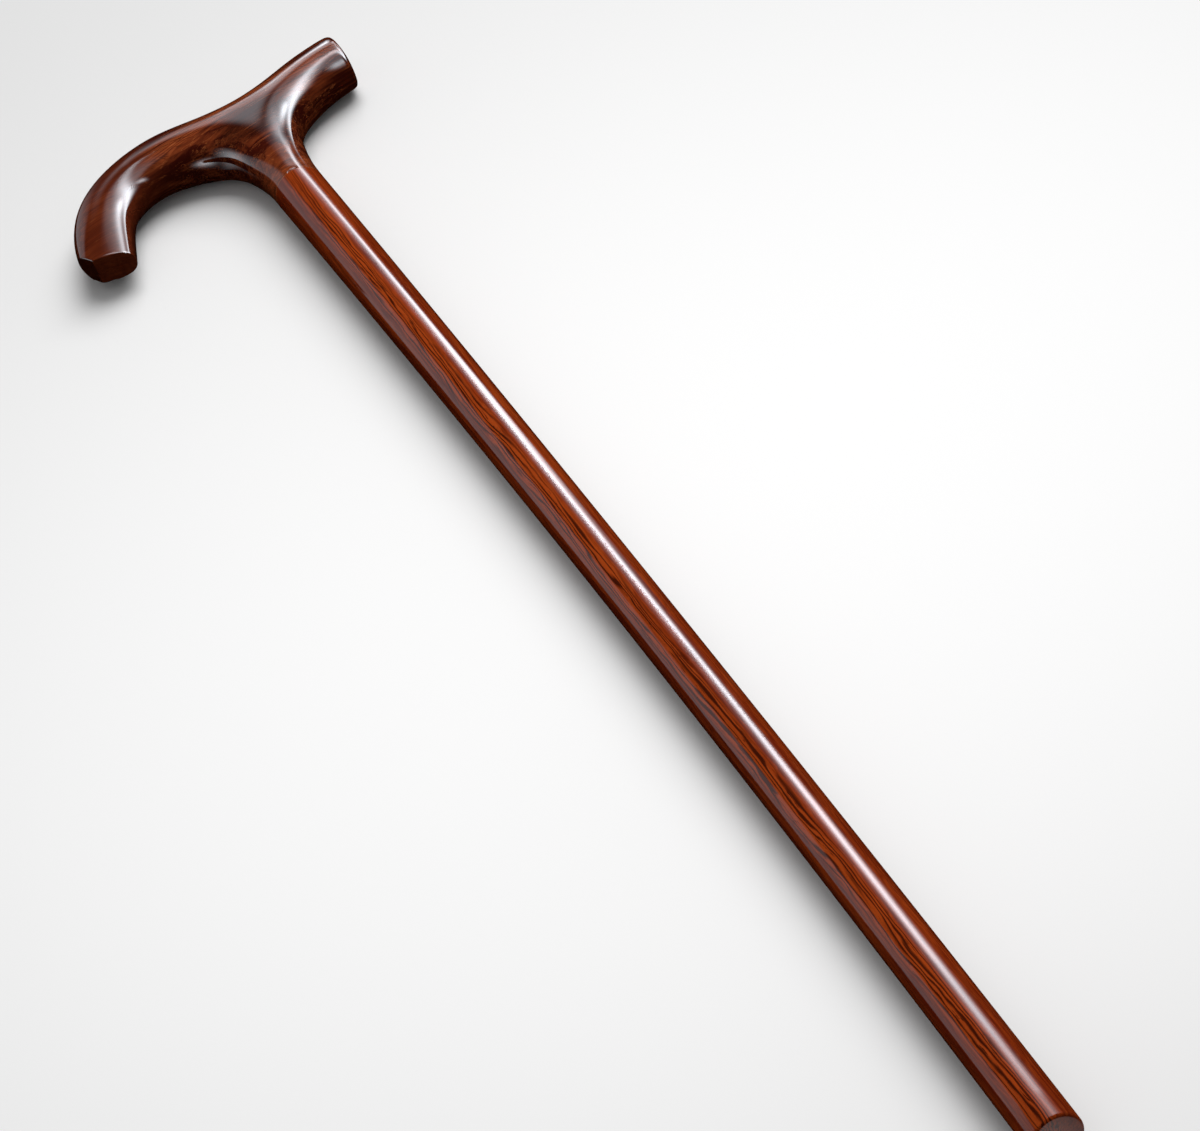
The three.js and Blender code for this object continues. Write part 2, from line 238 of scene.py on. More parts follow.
def alone(piece):
    """Selects one piece only, and makes it the active one."""
    bpy.ops.object.select_all(action="DESELECT")
    piece.select_set(True)
    bpy.context.view_layer.objects.active = piece
    return piece


def begin(name):
    """Names the primitive just added, puts its place into its mesh and opens it for editing."""
    piece = bpy.context.active_object
    piece.name = name
    piece.data.name = name
    alone(piece)
    bpy.ops.object.transform_apply(location=True, rotation=True, scale=True)
    bpy.ops.object.mode_set(mode="EDIT")
    return piece


def pick(piece, wanted):
    """Selects the points that are wanted, with the edges and faces between them."""
    mesh = bmesh.from_edit_mesh(piece.data)
    for group in (mesh.verts, mesh.edges, mesh.faces):
        for part in group:
            part.select = False
    for point in mesh.verts:
        point.select = bool(wanted(point.co))
    mesh.select_mode = {"VERT"}
    mesh.select_flush_mode()
    bmesh.update_edit_mesh(piece.data)


def pick_edges(piece, wanted):
    """Selects the edges that are wanted, with the faces between them."""
    mesh = bmesh.from_edit_mesh(piece.data)
    for edge in mesh.edges:
        edge.select = bool(wanted(edge))
    mesh.select_mode = {"EDGE"}
    mesh.select_flush_mode()
    bmesh.update_edit_mesh(piece.data)


def at(*places):
    """A test for points at any of the places."""
    return lambda point: any((point - place).length < SAME_PLACE for place in places)


def modify(piece, kind, **settings):
    """Adds a modifier and applies it."""
    modifier = piece.modifiers.new(kind.title(), kind)
    for name, value in settings.items():
        setattr(modifier, name, value)
    alone(piece)
    bpy.ops.object.modifier_apply(modifier=modifier.name)


def smooth(piece):
    """Shades the piece smooth, apart from its sharp edges."""
    alone(piece)
    bpy.ops.object.shade_smooth_by_angle(angle=SHADING_ANGLE)


def bezier(points):
    """The quadratic curve through the first and last of three points."""
    a, b, c = points
    return lambda t: a * (1 - t) ** 2 + b * 2 * t * (1 - t) + c * t**2


def catmull_rom(points):
    """The centripetal curve through the points."""
    ends = [points[0] * 2 - points[1], *points, points[-1] * 2 - points[-2]]
    spans = len(points) - 1

    def place(t):
        span = min(int(t * spans), spans - 1)
        share = t * spans - span
        p0, p1, p2, p3 = ends[span : span + 4]
        d0, d1, d2 = ((b - a).length ** 0.5 for a, b in ((p0, p1), (p1, p2), (p2, p3)))
        m1 = ((p1 - p0) / d0 - (p2 - p0) / (d0 + d1) + (p2 - p1) / d1) * d1
        m2 = ((p2 - p1) / d1 - (p3 - p1) / (d1 + d2) + (p3 - p2) / d2) * d1
        return (
            p1
            + m1 * share
            + ((p2 - p1) * 3 - m1 * 2 - m2) * share**2
            + ((p1 - p2) * 2 + m1 + m2) * share**3
        )

    return place


class CentreLine:
    """A curve measured along its own length."""

    STEPS = 200
    NUDGE = 1e-4

    def __init__(self, curve):
        self.curve = curve
        places = [curve(step / self.STEPS) for step in range(self.STEPS + 1)]
        self.lengths = [0.0]
        for a, b in zip(places, places[1:]):
            self.lengths.append(self.lengths[-1] + (b - a).length)
        self.length = self.lengths[-1]

    def _share(self, station):
        target = station * self.length
        step = max(i for i in range(self.STEPS) if self.lengths[i] <= target)
        here, ahead = self.lengths[step], self.lengths[step + 1]
        return (step + (target - here) / (ahead - here)) / self.STEPS

    def point(self, station):
        return self.curve(self._share(station))

    def tangent(self, station):
        share = self._share(station)
        ahead = min(share + self.NUDGE, 1)
        behind = max(share - self.NUDGE, 0)
        return (self.curve(ahead) - self.curve(behind)).normalized()


def section_ring(centre, across, to_first, to_second, thickness, shape):
    """Eight cage points round a section, from its first side up and over to the other."""
    middle, corner = shape
    lean = (to_first - to_second) / 2
    half_depth = (to_first + to_second) / 2
    turns = [
        (middle, 0), (corner, corner), (0, middle), (-corner, corner),
        (-middle, 0), (-corner, -corner), (0, -middle), (corner, -corner),
    ]
    return [
        centre + across * (lean + sideways * half_depth) + UP * (up * thickness / 2)
        for sideways, up in turns
    ]


def pull(piece, ring, hub, next_ring, next_hub):
    """Extrudes an open end of the cage and moves each of its points to its place."""
    step = next_hub - hub
    pick(piece, at(*ring, hub))
    bpy.ops.mesh.extrude_region_move(TRANSFORM_OT_translate={"value": step})
    for start, end in zip([*ring, hub], [*next_ring, next_hub]):
        pick(piece, at(start + step))
        bpy.ops.transform.translate(value=end - start - step)


def pull_all(piece, ring, hub, rings, hubs):
    """Extrudes an open end from ring to ring, with the hubs in the rings' middles."""
    for next_ring, next_hub in zip(rings, hubs):
        pull(piece, ring, hub, next_ring, next_hub)
        ring, hub = next_ring, next_hub


def crease(piece, *places):
    """Keeps the edges between the places sharp when the cage is subdivided."""
    pick(piece, at(*places))
    bpy.ops.transform.edge_crease(value=1)


def block_point(sizes, column, up, layer):
    """A point of the block where the neck (middle) and the arms (-1 nose, 1 tail) meet."""
    height, reach, thickness = {
        -1: (sizes.nose_shoulder_height, -sizes.nose_shoulder_reach, sizes.shoulder_thickness),
        0: (sizes.saddle_height, 0, sizes.thickness + sizes.planed_depth * 2),
        1: (sizes.tail_shoulder_height, sizes.tail_shoulder_reach, sizes.shoulder_thickness),
    }[column]
    middle, corner = CARVED_RING
    is_corner = up != 0 and layer != 0
    over_neck = up == -1 and column == 0
    spread = corner if is_corner else middle
    lift = corner if is_corner and not over_neck else middle
    in_middle = in_plane(height + up * spread * sizes.bar_depth / 2, reach)
    return in_middle + UP * (layer * lift * thickness / 2)


def carve_block(sizes):
    """A cube cut once each way, with each point moved to its place."""
    half = Vector((sizes.bar_depth, sizes.tail_shoulder_reach * 2, sizes.thickness)) / 2
    centre = in_plane(sizes.saddle_height, 0)
    bpy.ops.mesh.primitive_cube_add(size=2, location=centre, scale=half)
    piece = begin("carved_handle")
    bpy.ops.mesh.select_all(action="SELECT")
    bpy.ops.mesh.subdivide(number_cuts=1)
    for column, up, layer in itertools.product((-1, 0, 1), repeat=3):
        if (column, up, layer) != (0, 0, 0):
            start = centre + Vector((-up * half.x, column * half.y, layer * half.z))
            pick(piece, at(start))
            bpy.ops.transform.translate(value=block_point(sizes, column, up, layer) - start)
    return piece


def open_ring(sizes, first, between, second):
    """An open side's ring runs up one row of three points, over, down the other and back."""
    order = [
        (*first, 0), (*first, 1), (*between, 1), (*second, 1),
        (*second, 0), (*second, -1), (*between, -1), (*first, -1),
    ]
    return [block_point(sizes, *place) for place in order]


def pull_neck(piece, sizes, joint_diameter):
    """The neck narrows to the joint's circle."""
    ring = open_ring(sizes, (1, -1), (0, -1), (-1, -1))
    radius = joint_diameter / 2
    flare_thickness = (sizes.thickness + joint_diameter) / 2
    stations = [
        (sizes.flare_height, sizes.flare_to_tail, sizes.flare_to_nose, flare_thickness),
        (sizes.collar_height, radius, radius, joint_diameter),
        (0, radius, radius, joint_diameter),
    ]
    hubs = [in_plane(height, 0) for height, *_ in stations]
    rings = [
        section_ring(hub, Vector((0, 1, 0)), to_tail, to_nose, thickness, TURNED_RING)
        for hub, (_, to_tail, to_nose, thickness) in zip(hubs, stations)
    ]
    pull_all(piece, ring, block_point(sizes, 0, -1, 0), rings, hubs)
    crease(piece, *rings[-1])


def arm_rings(sizes, line, stations, end_depth, end_thickness, hollow=0):
    """Rings along an arm's centre line, tapering evenly from its root to its end."""
    rings = []
    for station in stations:
        along = line.tangent(station)
        depth = sizes.bar_depth + (end_depth - sizes.bar_depth) * station
        thickness = sizes.shoulder_thickness + (end_thickness - sizes.shoulder_thickness) * station
        rings.append(section_ring(
            line.point(station),
            Vector((-along.y, along.x, 0)),
            depth / 2,
            depth / 2 - hollow * 4 * station * (1 - station),
            thickness,
            ARM_RING,
        ))
    return rings


def pull_tail(piece, sizes):
    """The tail ends in a slightly crowned face with a rounded rim."""
    ring = open_ring(sizes, (1, 1), (1, 0), (1, -1))
    line = CentreLine(bezier([
        in_plane(sizes.tail_shoulder_height, sizes.tail_shoulder_reach),
        in_plane(sizes.tail_height, sizes.tail_reach - sizes.tail_straight),
        in_plane(sizes.tail_height, sizes.tail_reach),
    ]))
    stations = [TAIL_STATION, 1 - sizes.tail_edge / line.length, 1]
    middle, last, rim = arm_rings(
        sizes, line, stations, sizes.tail_depth, sizes.tail_thickness, sizes.tail_hollow
    )
    centre = line.point(1)
    crown = line.tangent(1) * sizes.tail_crown
    closing = [centre.lerp(corner, TAIL_RIM_SHARE) for corner in rim]
    face = [centre.lerp(corner, TAIL_END_SHARE) + crown for corner in rim]
    hubs = [line.point(stations[0]), line.point(stations[1]), centre, centre + crown]
    pull_all(piece, ring, block_point(sizes, 1, 0, 0), [middle, last, closing, face], hubs)


def pull_nose(piece, sizes):
    """The nose is cut off by two flat facets that meet in a ridge. Gives the ridge's lower end."""
    ring = open_ring(sizes, (-1, -1), (-1, 0), (-1, 1))
    line = CentreLine(catmull_rom([
        in_plane(sizes.nose_shoulder_height, -sizes.nose_shoulder_reach),
        in_plane(sizes.hump_height, -sizes.hump_reach),
        in_plane(sizes.bend_height, -sizes.bend_reach),
        in_plane(sizes.nose_height, -sizes.nose_reach),
    ]))
    rings = arm_rings(sizes, line, [*NOSE_STATIONS, 1], sizes.nose_depth, sizes.nose_thickness)
    along = line.tangent(1)
    across = Vector((-along.y, along.x, 0))
    ridge = line.point(1) - across * sizes.ridge_offset
    last = rings.pop()
    for place in (TOP_POINT, BOTTOM_POINT):
        last[place] -= across * sizes.ridge_offset
        last[place].z = JOINT.z + (last[place].z - JOINT.z) * TURNED_RING[1]

    def cut(corner):
        from_ridge = (corner - ridge).dot(across)
        slant = sizes.inner_facet_angle if from_ridge > 0 else sizes.outer_facet_angle
        undercut = (corner.z - JOINT.z) * math.tan(sizes.undercut_angle)
        return corner - along * (abs(from_ridge) * math.tan(slant) - undercut)

    end = [cut(corner) for corner in last]
    hubs = [*(line.point(station) for station in NOSE_STATIONS), ridge]
    pull_all(piece, ring, block_point(sizes, -1, 0, 0), [*rings, end], hubs)
    crease(piece, *end)
    crease(piece, end[TOP_POINT], ridge, end[BOTTOM_POINT])
    return end[BOTTOM_POINT]


def plane_sides(piece, thickness):
    """Planes both sides of the handle flat, and smooths the flats' border."""
    for side in (-1, 1):
        level = JOINT.z + side * thickness / 2
        pick(piece, lambda point: (point.z - level) * side > 0)
        bpy.ops.transform.resize(value=(1, 1, 0), center_override=(JOINT.x, JOINT.y, level))
    pick(piece, lambda point: abs(point.z - JOINT.z) > thickness / 2 - FLAT_BORDER)
    bpy.ops.mesh.vertices_smooth(factor=0.5, repeat=BORDER_PASSES)


def round_edges(piece, radius, wanted):
    """Rounds over the sharp edges whose two ends are both wanted."""
    bpy.ops.mesh.select_mode(type="EDGE")
    bpy.ops.mesh.select_all(action="DESELECT")
    bpy.ops.mesh.edges_select_sharp(sharpness=SHARP_ANGLE)
    pick_edges(piece, lambda edge: edge.select and all(wanted(point.co) for point in edge.verts))
    bpy.ops.mesh.bevel(offset=radius, segments=3, affect="EDGES")


class WoodFinish(bpy.types.PropertyGroup):
    """Colours of the wood and its lacquer"""

    shaft_light: colour("Shaft Light", "Light wood of the shaft", (0.34, 0.05, 0.007))
    shaft_middle: colour("Shaft Middle", "Most of the shaft's wood", (0.13, 0.013, 0.0025))
    shaft_dark: colour("Shaft Dark", "Dark lines in the shaft", (0.025, 0.003, 0.0015))
    handle_light: colour("Handle Light", "Light wood of the handle", (0.25, 0.05, 0.014))
    handle_middle: colour("Handle Middle", "Most of the handle's wood", (0.042, 0.005, 0.0024))
    handle_dark: colour("Handle Dark", "Dark lines in the handle", (0.01, 0.002, 0.0014))
    hairline: colour("Hairlines", "Thin bright lines in the wood", (0.36, 0.1, 0.03))
    pore: colour("Pores", "Pale specks in the wood's pores", (0.4, 0.22, 0.16))
    ring_width: length("Ring Width", "From one growth ring to the next", 0.0016)
    lacquer_roughness: amount("Lacquer Roughness", "Blur of the reflections", 0.07)


def new_material(name):
    material = bpy.data.materials.new(name)
    material.use_nodes = True
    return material, material.node_tree


def feed(tree, node, inputs):
    """Sets the node's inputs to values, or links them to other nodes' outputs."""
    for name, value in inputs.items():
        if isinstance(value, bpy.types.NodeSocket):
            tree.links.new(value, node.inputs[name])
        else:
            node.inputs[name].default_value = value


def add_node(tree, kind, inputs=None, **settings):
    node = tree.nodes.new(kind)
    for name, value in settings.items():
        setattr(node, name, value)
    feed(tree, node, inputs or {})
    return node


def calculate(tree, operation, *values):
    return add_node(tree, "ShaderNodeMath", dict(enumerate(values)), operation=operation).outputs[0]


def product(tree, *values):
    return reduce(lambda first, second: calculate(tree, "MULTIPLY", first, second), values)


def total(tree, *values):
    return reduce(lambda first, second: calculate(tree, "ADD", first, second), values)


def distance(tree, value, middle):
    """How far a value is from the middle."""
    return calculate(tree, "ABSOLUTE", calculate(tree, "SUBTRACT", value, middle))


def combine(tree, operation, *values):
    """Vector arithmetic. A scale's number is its last value."""
    inputs = dict(enumerate(values))
    if operation == "SCALE":
        inputs = {0: values[0], "Scale": values[1]}
    node = add_node(tree, "ShaderNodeVectorMath", inputs, operation=operation)
    return node.outputs["Value" if operation in ("LENGTH", "DOT_PRODUCT") else "Vector"]


def x_of(tree, vector):
    return add_node(tree, "ShaderNodeSeparateXYZ", {"Vector": vector}).outputs["X"]


def blend(tree, share, first, second):
    node = add_node(tree, "ShaderNodeMix", {0: share, 6: first, 7: second}, data_type="RGBA")
    return node.outputs[2]


def span(tree, value, low, high, to_low=0.0, to_high=1.0):
    """Maps a stretch of values to another with soft ends, and holds the ends."""
    node = add_node(
        tree,
        "ShaderNodeMapRange",
        {"Value": value, "From Min": low, "From Max": high, "To Min": to_low, "To Max": to_high},
        interpolation_type="SMOOTHSTEP",
    )
    return node.outputs["Result"]


def noise(tree, place, grain, detail=1.0, roughness=0.5, output="Fac"):
    """Noise with grains of the given sizes, in the units of the place."""
    shrunk = combine(tree, "DIVIDE", place, grain)
    inputs = {"Vector": shrunk, "Scale": 1.0, "Detail": detail, "Roughness": roughness}
    return add_node(tree, "ShaderNodeTexNoise", inputs).outputs[output]


def waver(tree, place, size, grain):
    """How far the fibres wander sideways, in waves of the given size and grain."""
    drift = combine(tree, "SUBTRACT", noise(tree, place, grain, output="Color"), (0.5, 0.5, 0.5))
    return combine(tree, "MULTIPLY", combine(tree, "SCALE", drift, size), (0, 2, 2))


def growth_rings(tree, bent, given):
    """The dark late wood of the rings round the pith."""
    across = combine(tree, "SUBTRACT", bent, given["Pith"])
    across = combine(tree, "MULTIPLY", across, (0, 1, 1))
    ring = calculate(tree, "DIVIDE", combine(tree, "LENGTH", across), given["Ring Width"])
    phase = calculate(tree, "FRACT", ring)
    return product(tree, span(tree, phase, 0.3, 0.85), span(tree, phase, 0.88, 1.0, 1.0, 0.0))


def dark_veins(tree, place, bent, given):
    """Wavy dark lines and flecks, which are strongest in the flat zone."""
    stripes = combine(tree, "DOT_PRODUCT", bent, (0, VEINS_PER_MM, 0))
    swirl = product(tree, noise(tree, bent, SWIRL_GRAIN), VEIN_SWIRL)
    field = calculate(tree, "FRACT", total(tree, stripes, swirl))
    vein = span(tree, distance(tree, field, 0.5), 0.08, 0.34, 1.0, 0.0)
    fleck = span(tree, noise(tree, bent, FLECK_GRAIN, 2.0, 0.6), 0.6, 0.68)
    gaps = span(tree, noise(tree, place, VEIN_GAP_GRAIN, 2.0, 0.6), 0.2, 0.4, 0.35, 1.0)
    strength = span(tree, given["Flat"], 0.0, 1.0, 0.22, 1.0)
    return product(tree, calculate(tree, "MAXIMUM", vein, fleck), gaps, strength, given["Contrast"])


def hairlines(tree, place, bent, given):
    """Thin bright lines along the fibres."""
    thread = noise(tree, bent, THREAD_GRAIN, 2.0, 0.6)
    line = span(tree, distance(tree, thread, 0.47), 0.0, 0.03, 1.0, 0.0)
    gaps = span(tree, noise(tree, place, THREAD_GAP_GRAIN, 2.0), 0.42, 0.6)
    return product(tree, line, gaps, given["Hairlines"])


def slanting_strokes(tree, place, bent, given):
    """Short dark strokes that cross the flat zone at a slant."""
    sideways = product(tree, x_of(tree, place), STROKE_SLOPE)
    shift = add_node(tree, "ShaderNodeCombineXYZ", {"Y": sideways}).outputs["Vector"]
    field = noise(tree, combine(tree, "ADD", bent, shift), STROKE_GRAIN, 2.0, 0.6)
    return product(tree, span(tree, field, 0.5, 0.62), given["Flat"], given["Strokes"])


def pores(tree, place):
    """Scattered specks, in a few of the cells that the wood is divided into."""
    scaled = combine(tree, "DIVIDE", place, PORE_CELL)
    cells = add_node(tree, "ShaderNodeTexVoronoi", {"Vector": scaled, "Scale": 1.0}).outputs
    near = span(tree, cells["Distance"], 0.03, 0.055, 1.0, 0.0)
    draw = add_node(tree, "ShaderNodeSeparateColor", {"Color": cells["Color"]}).outputs["Red"]
    return product(tree, near, span(tree, draw, 0.8, 0.82))


def wood_figure():
    """Growth rings round a pith, cut by the surface, with fibres, dark veins and pores.

    Its place is in millimetres, with the grain along X. Five inputs are masks: Flat is 1 where
    the surface lies along the rings, Calm where the figure fades, Shade in a darker patch, Seam
    at the glue line and End where the surface cuts the grain across. The amounts are how
    much there is of each feature.
    """
    tree = bpy.data.node_groups.new("wood_figure", "ShaderNodeTree")
    masks = ("Flat", "Calm", "Shade", "Seam", "End")
    amounts = ("Waves", "Contrast", "Strokes", "Fibre", "Warmth", "Glow", "Hairlines", "Endgrain")
    for kind, labels in (
        ("NodeSocketVector", ("Place", "Pith")),
        ("NodeSocketFloat", ("Ring Width", *masks, *amounts)),
        ("NodeSocketColor", ("Light", "Middle", "Dark", "Hairline Color", "Pore Color")),
    ):
        for label in labels:
            tree.interface.new_socket(label, in_out="INPUT", socket_type=kind)
    tree.interface.new_socket("Color", in_out="OUTPUT", socket_type="NodeSocketColor")
    tree.interface.new_socket("Height", in_out="OUTPUT", socket_type="NodeSocketFloat")
    given = tree.nodes.new("NodeGroupInput").outputs
    result = tree.nodes.new("NodeGroupOutput").inputs
    place = given["Place"]
    bent = combine(tree, "ADD", place, waver(tree, place, BROAD_WAVES, BROAD_GRAIN))
    bent = combine(tree, "ADD", bent, waver(tree, place, given["Waves"], SMALL_GRAIN))
    late = growth_rings(tree, bent, given)
    fibre = noise(tree, bent, FIBRE_GRAIN, 3.0, 0.7)
    tone = noise(tree, place, TONE_GRAIN, 3.0, 0.55)
    specks = pores(tree, place)

    warmth = total(
        tree,
        span(tree, tone, 0.3, 0.72, 0.0, 0.75),
        product(tree, span(tree, fibre, 0.25, 0.75, -1.0, 1.0), given["Fibre"]),
        given["Warmth"],
        product(tree, late, -0.22),
        product(tree, given["Flat"], given["Glow"]),
    )
    layers = [
        (hairlines(tree, place, bent, given), given["Hairline Color"]),
        (product(tree, given["Calm"], 0.7), blend(tree, 0.22, given["Middle"], given["Light"])),
        (dark_veins(tree, place, bent, given), given["Dark"]),
        (slanting_strokes(tree, place, bent, given), given["Dark"]),
        (product(tree, given["Shade"], span(tree, fibre, 0.3, 0.7, 0.85, 0.5)), given["Dark"]),
        (product(tree, given["Seam"], 0.6), given["Hairline Color"]),
        (
            product(tree, given["End"], span(tree, late, 0.0, 1.0, 0.8, 1.0), given["Endgrain"]),
            given["Dark"],
        ),
        (product(tree, specks, 0.4), given["Pore Color"]),
    ]
    wood = blend(tree, warmth, given["Middle"], given["Light"])
    for share, layer in layers:
        wood = blend(tree, share, wood, layer)
    tree.links.new(wood, result["Color"])
    tree.links.new(total(tree, fibre, specks), result["Height"])


def lacquered(name, finish, colours, grain, pith, flat, patch=None, neck=0.0, **figure):
    """Figured wood under a thick clear lacquer.

    The grain is the turn about Z that brings the fibres to X, and lengths are in millimetres
    after that turn. The flat zone is given by its middle, its direction across, its half width
    and the stretch in which it sets in, and the dark patch by its middle and its reach each way.
    Neck is how far the wood next to the joint is like the flat zone.
    """
    material, tree = new_material(name)
    coordinates = add_node(tree, "ShaderNodeTexCoord").outputs

    def turned(output):
        turn = {"Vector": coordinates[output], "Rotation": (0, 0, math.radians(grain))}
        return add_node(tree, "ShaderNodeMapping", turn).outputs["Vector"]

    place = combine(tree, "SCALE", turned("Object"), 1000.0)
    lengthways = x_of(tree, place)
    end = span(tree, calculate(tree, "ABSOLUTE", x_of(tree, turned("Normal"))), 0.8, 0.95)
    shade = 0.0
    # A darker patch about a given middle; on the handle it lies where the neck meets the bar
    if patch:
        patch_middle, reach = patch
        off = combine(tree, "DIVIDE", combine(tree, "SUBTRACT", place, patch_middle), reach)
        shade = span(tree, combine(tree, "LENGTH", off), 0.5, 1.3, 1.0, 0.0)
        past_patch_middle = span(tree, distance(tree, lengthways, patch_middle[0]), *END_GRAIN_STARTS)
        end = product(tree, end, past_patch_middle)

    middle, direction, half_width, onset = flat
    from_middle = combine(tree, "DOT_PRODUCT", combine(tree, "SUBTRACT", place, middle), direction)
    from_middle = calculate(tree, "ABSOLUTE", from_middle)
    begun = span(tree, lengthways, *onset)
    zone = span(tree, from_middle, half_width * 0.6, half_width * 1.4, 1.0, 0.0)
    from_joint = distance(tree, x_of(tree, coordinates["Object"]), JOINT.x)
    near_joint = span(tree, from_joint, *NECK_ZONE, neck, 0.0)

    inputs = {
        "Place": place,
        "Pith": pith,
        "Ring Width": finish.ring_width * 1000,
        "Flat": calculate(tree, "MAXIMUM", product(tree, zone, begun), near_joint),
        "Calm": calculate(tree, "SUBTRACT", 1.0, begun),
        "Shade": shade,
        "Seam": span(tree, from_joint, GLUE_LINE, GLUE_LINE * 4, 1.0, 0.0),
        "End": end,
        "Hairline Color": (*finish.hairline, 1),
        "Pore Color": (*finish.pore, 1),
        **{label: (*value, 1) for label, value in zip(("Light", "Middle", "Dark"), colours)},
        **figure,
    }
    wood = add_node(tree, "ShaderNodeGroup", inputs, node_tree=bpy.data.node_groups["wood_figure"])
    relief = {"Height": wood.outputs["Height"], "Strength": 0.004, "Distance": 0.0002}
    bump = add_node(tree, "ShaderNodeBump", relief)
    feed(tree, tree.nodes["Principled BSDF"], {
        "Base Color": wood.outputs["Color"],
        "Normal": bump.outputs["Normal"],
        "Roughness": 0.5,
        "Specular IOR Level": 0.0,
        "Coat Weight": 1.0,
        "Coat Roughness": finish.lacquer_roughness,
        "Coat IOR": 1.5,
    })
    return material


def dress(piece, material):
    piece.data.materials.clear()
    piece.data.materials.append(material)


class CANE_OT_handle(bpy.types.Operator):
    """Carves the handle from a block, with its neck, tail and nose"""

    bl_idname = "cane.handle"
    bl_label = "Carve Handle"

    def execute(self, context):
        sizes = context.scene.cane_handle
        shaft = context.scene.cane_shaft
        piece = carve_block(sizes)
        pull_neck(piece, sizes, shaft.joint_diameter)
        pull_tail(piece, sizes)
        corner = pull_nose(piece, sizes)
        bpy.ops.object.mode_set(mode="OBJECT")
        modify(piece, "SUBSURF", levels=sizes.levels, render_levels=sizes.levels)
        bpy.ops.object.mode_set(mode="EDIT")
        plane_sides(piece, sizes.thickness)
        pick(piece, lambda point: (point - corner).length < sizes.corner_reach)
        bpy.ops.mesh.vertices_smooth(factor=0.5, repeat=CORNER_PASSES)
        round_edges(piece, sizes.edge_round, lambda place: place.x < JOINT.x - sizes.edge_round)
        bpy.ops.object.mode_set(mode="OBJECT")
        smooth(piece)
        finish = context.scene.cane_wood
        dress(piece, lacquered(
            "handle_wood",
            finish,
            (finish.handle_light, finish.handle_middle, finish.handle_dark),
            grain=-98,
            pith=(0, 340, -60),
            flat=((0, 375, 0), (0, 1, 0), 3.4, (14, 38)),
            patch=((74, 356, 25), (21, 12, 16)),
            neck=0.55,
            Waves=0.4,
            Contrast=0.6,
            Strokes=0.65,
            Fibre=0.13,
            Warmth=-0.1,
            Glow=1.1,
            Hairlines=0.7,
            Endgrain=0.75,
        ))
        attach(piece, "root")
        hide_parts("handle")
        return {"FINISHED"}


def shaft_radius(sizes, along):
    """The shaft tapers to its waist, then swells a little to the tip."""
    share = min(along / sizes.waist_distance, 1)
    narrowing = (sizes.joint_diameter - sizes.waist_diameter) * math.sin(share * math.pi / 2)
    past = max(along - sizes.waist_distance, 0) / (SHAFT_LENGTH - sizes.waist_distance)
    swelling = (sizes.tip_diameter - sizes.waist_diameter) * past**2
    return (sizes.joint_diameter - narrowing + swelling) / 2


class CANE_OT_shaft(bpy.types.Operator):
    """Turns the tapered, slightly bowed shaft"""

    bl_idname = "cane.shaft"
    bl_label = "Turn Shaft"

    def execute(self, context):
        sizes = context.scene.cane_shaft
        first = JOINT.x + GLUE_LINE
        radius = sizes.joint_diameter / 2
        bpy.ops.mesh.primitive_cylinder_add(
            vertices=sizes.sides,
            radius=radius,
            depth=TIP.x - first,
            location=((first + TIP.x) / 2, TIP.y, TIP.z),
            rotation=(0, math.pi / 2, 0),
        )
        piece = begin("turned_shaft")
        pick_edges(piece, lambda edge: abs(edge.verts[0].co.x - edge.verts[1].co.x) > radius)
        bpy.ops.mesh.subdivide(number_cuts=sizes.rings - 1)
        for ring in range(sizes.rings + 1):
            place = first + (TIP.x - first) * ring / sizes.rings
            along = place - JOINT.x
            share = along / SHAFT_LENGTH
            size = shaft_radius(sizes, along) / radius
            pick(piece, lambda point: abs(point.x - place) < SAME_PLACE)
            bpy.ops.transform.resize(value=(1, size, size), center_override=(place, TIP.y, TIP.z))
            bpy.ops.transform.translate(value=(0, sizes.bow * 4 * share * (1 - share), 0))
        pick(piece, lambda point: abs(point.x - TIP.x) < SAME_PLACE)
        bpy.ops.mesh.bevel(offset=sizes.tip_edge_radius, segments=5, affect="EDGES")
        bpy.ops.object.mode_set(mode="OBJECT")
        smooth(piece)
        finish = context.scene.cane_wood
        axis = Vector((0, TIP.y, TIP.z)) * 1000
        slant = math.radians(13)
        dress(piece, lacquered(
            "shaft_wood",
            finish,
            (finish.shaft_light, finish.shaft_middle, finish.shaft_dark),
            grain=0,
            pith=axis + Vector((0, 9, -29)),
            flat=(axis, (0, math.cos(slant), math.sin(slant)), 3.2, (-400, -220)),
            Waves=0.6,
            Contrast=0.9,
            Fibre=0.4,
            Glow=0.7,
            Hairlines=0.2,
            Endgrain=0.2,
        ))
        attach(piece, "root")
        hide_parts("shaft")
        return {"FINISHED"}


class CANE_OT_stud(bpy.types.Operator):
    """Gives the hidden stud its zinc-plated finish"""

    bl_idname = "cane.stud"
    bl_label = "Plate Stud"

    def execute(self, context):
        material, tree = new_material("zinc_plate")
        place = combine(tree, "SCALE", add_node(tree, "ShaderNodeTexCoord").outputs["Object"], 1000.0)
        spangle = noise(tree, place, SPANGLE_GRAIN, 3.0)
        feed(tree, tree.nodes["Principled BSDF"], {
            "Base Color": blend(tree, span(tree, spangle, 0.3, 0.7), COOL_ZINC, WARM_ZINC),
            "Roughness": span(tree, spangle, 0.3, 0.7, 0.22, 0.4),
            "Metallic": 1,
        })
        dress(frame["nodes"]["joint_stud"], material)
        return {"FINISHED"}


